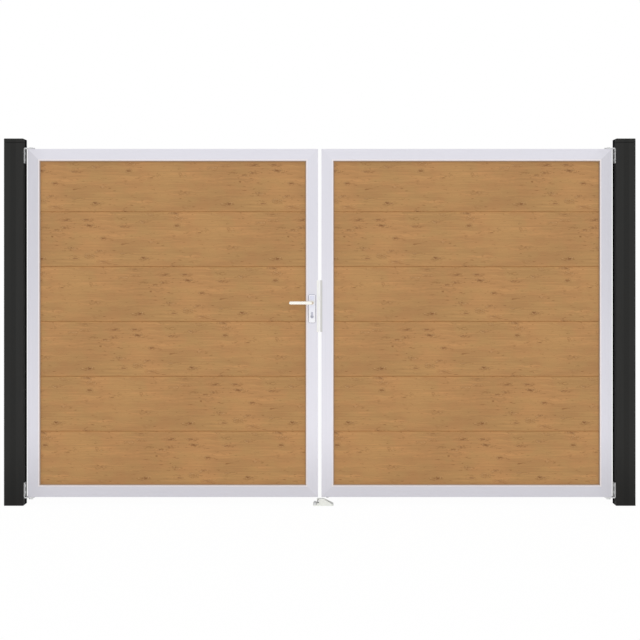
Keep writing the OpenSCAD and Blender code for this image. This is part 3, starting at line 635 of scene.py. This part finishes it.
# %% [markdown]
# ## Beads and gaskets
# On the real leaf the frame's inner edge ends in a small rounded bead that catches
# the light, and a grey-brown rubber gasket fills the corner between the lip and the
# boards. The bead's finish is lighter than the frame's silver, a painted highlight
# along the edge, and it has painted shade towards foot and top. Both are closed
# rings. A ring could be four mitred sticks; here it is one standing plane with an
# inset, its middle deleted, then given its thickness and round edges by modifiers,
# so that the corners close by themselves.

# %% Beads and gaskets
rail_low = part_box("left_top_rail")[0]
lock_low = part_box("left_lock_stile")[0]
hinge_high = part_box("left_hinge_stile")[1]
foot_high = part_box("left_bottom_rail")[1]
OPENING = (hinge_high.x, lock_low.x, foot_high.z, rail_low.z)
FACE_Y = lock_low.y
BOARD_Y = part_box("left_board_3")[0].y
print("opening", [round(v, 4) for v in OPENING], "face", round(FACE_Y, 4))


def ring(name, finish, outside, width, front, back, round_edge):
    """A flat ring round the opening; outside is how far it reaches over the frame."""
    left, right, low, high = OPENING
    deselect()
    place = ((left + right) / 2, (front + back) / 2, (low + high) / 2)
    bpy.ops.mesh.primitive_plane_add(size=1.0, location=place, rotation=FACING)
    bpy.ops.object.transform_apply(location=False, rotation=True, scale=False)
    size = (right - left + 2 * outside, 1.0, high - low + 2 * outside)
    bpy.ops.object.mode_set(mode="EDIT")
    bpy.ops.transform.resize(value=size)
    bpy.ops.mesh.inset(thickness=width)
    bpy.ops.mesh.delete(type="FACE")
    modify("SOLIDIFY", thickness=back - front, offset=0.0)
    modify("BEVEL", width=round_edge, segments=3, limit_method="ANGLE")
    return settle(name, "left_leaf", finish)


bead = ring(
    "bead_left_front", bead_silver_painted_highlight, outside=0.0068, width=0.0066,
    front=FACE_Y - 0.0012, back=FACE_Y + 0.0002, round_edge=0.0006,
)
gasket = ring(
    "gasket_left_front", gasket_rubber, outside=-0.0001, width=0.0043,
    front=FACE_Y + 0.0035, back=BOARD_Y - 0.0001, round_edge=0.0008,
)
for piece, word, slot, finish in (
    (bead, "bead", "silver_frame", bead_silver_painted_highlight),
    (gasket, "gasket", "bush_nylon", gasket_rubber),
):
    mirrored_copy(piece, f"{word}_left_back", "left_leaf", finish, TO_BACK)
    mirrored_copy(piece, f"{word}_right_front", "right_leaf", finish, TO_RIGHT)
    mirrored_copy(piece, f"{word}_right_back", "right_leaf", finish, TO_RIGHT_BACK)

# %% [markdown]
# ## Handle plates
# Each plate has a raised bright rim, sits on a thin grey seal and carries a ring
# round the lever's neck. The seal is partly a real rubber seal and partly painted
# shadow: its edge round the plate stands in for the plate's contact shadow. Rim
# and seal follow the plate's rounded outline: a slab over the plate has its four
# corners rounded in edit mode, and the rim then gets its opening by an inset on
# both sides and a bridge between them.

# %% Plate rim and seal
plate_low, plate_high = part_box("front_handle_plate")
PLATE_MID = (plate_low + plate_high) / 2
PLATE_X, _, PLATE_Z = plate_high - plate_low
PLATE_ROUND = 0.008
SEAL_REACH = 0.0012
RIM_REACH = -0.0017
RIM_WIDTH = 0.0034


def plate_slab(reach, front, back):
    """A slab with the plate's outline; reach is how far it stands out on each side."""
    block(
        (PLATE_X + 2 * reach, back - front, PLATE_Z + 2 * reach),
        (PLATE_MID.x, (front + back) / 2, PLATE_MID.z),
    )
    round_corners(PLATE_ROUND + reach, 6)


# The seal's edge round the plate is partly painted shadow
plate_slab(SEAL_REACH, FACE_Y - 0.0006, FACE_Y - 0.00005)
seal = settle("plate_seal_front", "left_leaf", seal_rubber_and_painted_shadow)
plate_slab(RIM_REACH, plate_low.y - 0.0006, plate_low.y + 0.0004)
pierce(RIM_WIDTH)
modify("BEVEL", width=0.0003, segments=2, limit_method="ANGLE")
rim = settle("plate_rim_front", "left_leaf", rim_alloy)
mirrored_copy(seal, "plate_seal_back", "left_leaf", seal_rubber_and_painted_shadow, TO_BACK)
mirrored_copy(rim, "plate_rim_back", "left_leaf", rim_alloy, TO_BACK)

# %% [markdown]
# ## Lever rings
# Where the lever's neck enters its plate, a turned ring hides the bearing. It is
# a low cylinder, opened to the neck's width like the rim, and its front edges are
# rounded, so that it reads as a ring and not as a disc.

# %% Lever rings
spindle_low, spindle_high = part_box("spindle")
SPINDLE = (spindle_low + spindle_high) / 2
NECK_R = 0.0102
RING_R = 0.0135
RING_T = 0.0022
ring_place = (SPINDLE.x, plate_low.y - RING_T / 2, SPINDLE.z)
turned(RING_R, RING_T, ring_place, FACING, vertices=64)
pierce(RING_R - NECK_R)
pick("edges", lambda middle, edge: middle.y < plate_low.y - 0.9 * RING_T)
bpy.ops.mesh.bevel(offset=0.0007, segments=3, affect="EDGES")
cover = settle("lever_ring_front", "left_leaf", rim_alloy)
mirrored_copy(cover, "lever_ring_back", "left_leaf", rim_alloy, TO_BACK)

# %% [markdown]
# ## Keyway
# The plug's end shows the slot for the key. A real slot is cut; here a thin sliver
# with round ends lies on the plug and turns with it, which looks the same from any
# side and keeps the plug's mesh as it is. Its near-black is painted shade, standing
# in for the shade inside the slot.

# %% Keyway
plug_low, plug_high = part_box("key_plug")
PLUG_X = (plug_low.x + plug_high.x) / 2
PLUG_Z = 0.976
KEYWAY_SIZE = (0.0024, 0.0006, 0.0092)
block(KEYWAY_SIZE, (PLUG_X, plug_low.y + 0.0001, PLUG_Z + 0.0005))
round_corners(0.0011, 5)
keyway = settle("keyway_front", "key_drive", keyway_painted_shade)
mirrored_copy(keyway, "keyway_back", "key_drive", keyway_painted_shade, TO_BACK)

# %% [markdown]
# ## Latch lip
# A strike has a small bent lip that guides the latch in and covers it from the
# street. It is a flat tongue whose front edges are rolled back by a bevel.

# %% Latch lip
latch_low, latch_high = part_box("latch_bolt")
strike_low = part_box("strike")[0]
forend_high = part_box("lock_forend")[1]
LIP_T = 0.001
LIP_HEIGHT = 0.026
lip_left, lip_right = forend_high.x + 0.0005, strike_low.x + 0.002
latch_z = (latch_low.z + latch_high.z) / 2
block(
    (lip_right - lip_left, LIP_T, LIP_HEIGHT),
    ((lip_left + lip_right) / 2, strike_low.y - LIP_T / 2, latch_z),
)
pick("edges", lambda middle, edge: middle.y < -0.4 * LIP_T)
bpy.ops.mesh.bevel(offset=0.0004, segments=4, affect="EDGES")
settle("latch_lip", "right_leaf", forend_steel)

# %% [markdown]
# ## Buffer on the stop
# A grey rubber pad with a pale plug sits on the left end of the stop's cheek. The
# pad is a slab with round corners and a soft crown; the plug is a low dome.

# %% Buffer on the stop
stop_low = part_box("ground_stop")[0]
PAD_SIZE = (0.0095, 0.002, 0.019)
PAD_X, PAD_Z = -0.0085, 0.0245
DOME_R = 0.0036
DOME_T = 0.003
block(PAD_SIZE, (PAD_X, stop_low.y - 0.0008, PAD_Z))
round_corners(0.002, 5)
pick("faces", lambda middle, face: face.normal.y < -0.9)
bpy.ops.mesh.inset(thickness=0.001)
bpy.ops.transform.translate(value=(0, -0.0006, 0))
settle("stop_pad", "posts", buffer_rubber)

dome_place = (PAD_X + 0.0019, stop_low.y - 0.002, PAD_Z + 0.0017)
turned(DOME_R, DOME_T, dome_place, FACING, vertices=40)
pick("faces", lambda middle, face: face.normal.y < -0.9)
bpy.ops.mesh.bevel(offset=0.0012, segments=4, affect="EDGES")
settle("stop_plug", "posts", rim_alloy)

# %% [markdown]
# ## Ferrule on the drop bolt
# A dark round end shows under the right leaf. On the real bolt it is a nylon
# ferrule pressed over the rod's tip, which keeps the rod quiet in its pocket. It
# is a short cylinder with a domed lower end, whose top is hollowed out round the
# rod by an inset that is pushed down.

# %% Ferrule
rod_low, rod_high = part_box("drop_bolt_rod")
ROD = (rod_low + rod_high) / 2
ROD_R = (rod_high.x - rod_low.x) / 2
FERRULE_R = 0.0078
FERRULE_HEIGHT = 0.012
HOLLOW_DEPTH = 0.0102
ROD_GAP = 0.0001
TIP_Z = rod_low.z - 0.0019
ferrule_place = (ROD.x, ROD.y, TIP_Z + FERRULE_HEIGHT / 2)
turned(FERRULE_R, FERRULE_HEIGHT, ferrule_place, UPRIGHT, vertices=48)
pick("faces", lambda middle, face: face.normal.z < -0.9)
bpy.ops.mesh.bevel(offset=0.002, segments=4, affect="EDGES")
pick("faces", lambda middle, face: face.normal.z > 0.9)
bpy.ops.mesh.inset(thickness=FERRULE_R - ROD_R - ROD_GAP)
bpy.ops.transform.translate(value=(0, 0, -HOLLOW_DEPTH))
pick("edges", lambda middle, edge: middle.z > TIP_Z + FERRULE_HEIGHT - 0.0001)
bpy.ops.mesh.bevel(offset=0.0003, segments=2, affect="EDGES")
settle("rod_ferrule", "drop_bolt", nylon)

# %% [markdown]
# ## Floor
# The photograph stands on plain white. The floor is pale and keeps the gate's
# soft shadow; only what the camera sees of it, directly or mirrored in a polished
# piece, is lifted towards white.

# %% Floor
PAPER_LOW = (0.86, 0.86, 0.86)
PAPER_HIGH = (0.88, 0.88, 0.88)
FLOOR_LIFT = 0.96
FLOOR_WHITE = 1.012

deselect()
bpy.ops.mesh.primitive_grid_add(x_subdivisions=8, y_subdivisions=8, size=60.0)
floor = bpy.context.object
floor.name = "floor"
paper = Finish("floor_paper", roughness=0.95, specular=0.0)
paper.colour(paper.mix(paper.noise((3, 3, 3), 2.0), PAPER_LOW, PAPER_HIGH))
rays = paper.add("LightPath")
seen = paper.math("MAXIMUM", rays.outputs["Is Camera Ray"], rays.outputs["Is Glossy Ray"])
white = paper.add("Emission", {"Color": (1, 1, 1, 1), "Strength": FLOOR_WHITE})
lifted = paper.add("MixShader", {0: paper.math("MULTIPLY", seen, FLOOR_LIFT)})
paper.links.new(paper.shader.outputs[0], lifted.inputs[1])
paper.links.new(white.outputs[0], lifted.inputs[2])
paper.links.new(lifted.outputs[0], paper.nodes["Material Output"].inputs["Surface"])
floor.data.materials.append(paper.mat)

# %% [markdown]
# ## Light
# A bright world gives soft studio light. It is brightest above and in front of the
# gate and dims towards the back, and the camera sees it as plain white. One large
# lamp in front adds a little direction; the metal does not mirror it.

# %% Light
BRIGHT_SIDE = (0.0, -0.8, 0.6)
DIM_FROM, BRIGHT_TO = -0.2, 0.9
DIM, BRIGHT = 0.36, 0.97
LAMP_PLACE = Vector((0.0, -9.0, 2.4))
LAMP_TARGET = Vector((0.0, 0.0, 1.0))

world = bpy.data.worlds.new("studio")
world.use_nodes = True
bpy.context.scene.world = world
sky = world.node_tree.nodes
sky_links = world.node_tree.links
room = sky["Background"]
room.inputs["Color"].default_value = (1.0, 1.0, 1.0, 1.0)
ahead = sky.new("ShaderNodeVectorMath")
ahead.operation = "DOT_PRODUCT"
ahead.inputs[1].default_value = BRIGHT_SIDE
sky_links.new(sky.new("ShaderNodeTexCoord").outputs["Generated"], ahead.inputs[0])
glow = sky.new("ShaderNodeMapRange")
glow.interpolation_type = "SMOOTHSTEP"
for i, value in enumerate((DIM_FROM, BRIGHT_TO, DIM, BRIGHT), start=1):
    glow.inputs[i].default_value = value
sky_links.new(ahead.outputs["Value"], glow.inputs[0])
sky_links.new(glow.outputs[0], room.inputs["Strength"])
backdrop = sky.new("ShaderNodeBackground")
backdrop.inputs["Color"].default_value = (1.0, 1.0, 1.0, 1.0)
backdrop.inputs["Strength"].default_value = 1.0
paths = sky.new("ShaderNodeLightPath")
choose = sky.new("ShaderNodeMixShader")
sky_links.new(paths.outputs["Is Camera Ray"], choose.inputs[0])
sky_links.new(room.outputs[0], choose.inputs[1])
sky_links.new(backdrop.outputs[0], choose.inputs[2])
sky_links.new(choose.outputs[0], sky["World Output"].inputs["Surface"])

lamp_data = bpy.data.lights.new("key", "AREA")
lamp_data.shape = "RECTANGLE"
lamp_data.size, lamp_data.size_y = 6.0, 3.0
lamp_data.energy = 80.0
lamp = bpy.data.objects.new("key", lamp_data)
lamp.location = LAMP_PLACE
lamp.rotation_euler = (LAMP_TARGET - LAMP_PLACE).to_track_quat("-Z", "Y").to_euler()
lamp.visible_glossy = False
bpy.context.scene.collection.objects.link(lamp)
